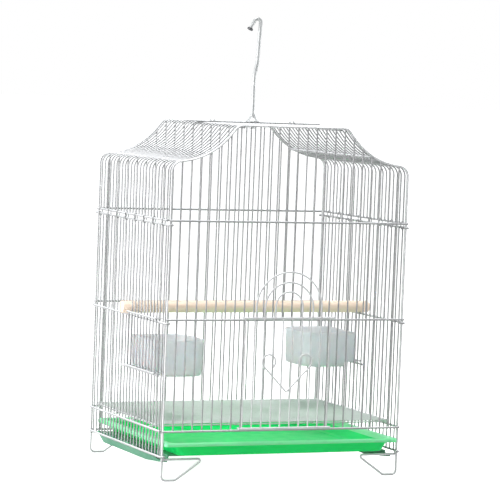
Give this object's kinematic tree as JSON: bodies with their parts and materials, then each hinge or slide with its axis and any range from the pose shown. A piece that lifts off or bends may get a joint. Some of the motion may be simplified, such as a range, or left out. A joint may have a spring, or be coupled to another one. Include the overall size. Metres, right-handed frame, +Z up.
{
  "type": "bird cage",
  "caption": "Wire bird cage with a pagoda roof, hanging hook, lift-up door with heart and arch trim, feeder cups, wooden perch and pull-out tray",
  "frame": {"origin": "under the middle of the cage, half way between the corner posts both ways, on the plane that the wire feet stand on", "axes": "+Z up, +X to the cage's right as seen from the front, -Y towards the front door"},
  "size_m": [0.324, 0.2418, 0.5365],
  "materials": {
    "wire_white": "glossy white paint on steel wire",
    "zinc": "bright zinc-plated steel",
    "tray_plastic": "smooth bright green moulded plastic",
    "runner_plastic": "matt grey-green moulded plastic",
    "cup_plastic": "milky blue-white moulded plastic",
    "perch_wood": "bare pale turned softwood"
  },
  "bodies": {
    "cage": {"front_gable": "wire_white", "back_gable": "wire_white", "front_panel": "wire_white", "back_panel": "wire_white", "left_side_panel": "wire_white", "right_side_panel": "wire_white", "left_roof_skirt": "wire_white", "right_roof_skirt": "wire_white", "left_roof_slope": "wire_white", "right_roof_slope": "wire_white", "roof_ridge": "wire_white", "left_roof_links": "wire_white", "right_roof_links": "wire_white", "ridge_strap": "wire_white", "ridge_rivets": "zinc", "hook_collar": "zinc", "hook_washer": "zinc", "perch": "perch_wood", "floor_grid": "wire_white", "left_tray_runner": "runner_plastic", "right_tray_runner": "runner_plastic", "front_left_foot": "wire_white", "front_right_foot": "wire_white", "back_left_foot": "wire_white", "back_right_foot": "wire_white"},
    "front_door": {"front_door": "wire_white", "door_heart": "wire_white", "door_arches": "wire_white"},
    "left_feeder_door": {"left_feeder_door": "wire_white"},
    "right_feeder_door": {"right_feeder_door": "wire_white"},
    "left_cup": {"left_cup": "cup_plastic"},
    "right_cup": {"right_cup": "cup_plastic"},
    "tray": {"tray": "tray_plastic"},
    "hook": {"hook": "zinc", "hook_tip": "zinc"}
  },
  "joints": [
    {"name": "door_lift", "type": "slide", "parent": "cage", "child": "front_door", "axis": [0, 0, 1], "range_m": [0, 0.105]},
    {"name": "left_feeder_lift", "type": "slide", "parent": "cage", "child": "left_feeder_door", "axis": [0, 0, 1], "range_m": [0, 0.05]},
    {"name": "right_feeder_lift", "type": "slide", "parent": "cage", "child": "right_feeder_door", "axis": [0, 0, 1], "range_m": [0, 0.05]},
    {"name": "left_cup_lift", "type": "slide", "parent": "cage", "child": "left_cup", "axis": [0, 0, 1], "range_m": [0, 0.015]},
    {"name": "right_cup_lift", "type": "slide", "parent": "cage", "child": "right_cup", "axis": [0, 0, 1], "range_m": [0, 0.015]},
    {"name": "tray_slide", "type": "slide", "parent": "cage", "child": "tray", "axis": [0, -1, 0], "range_m": [0, 0.2]},
    {"name": "hook_swivel", "type": "hinge", "parent": "cage", "child": "hook", "pos_m": [0, 0.00479, 0.41], "axis": [0, 0, 1], "continuous": true}
  ]
}
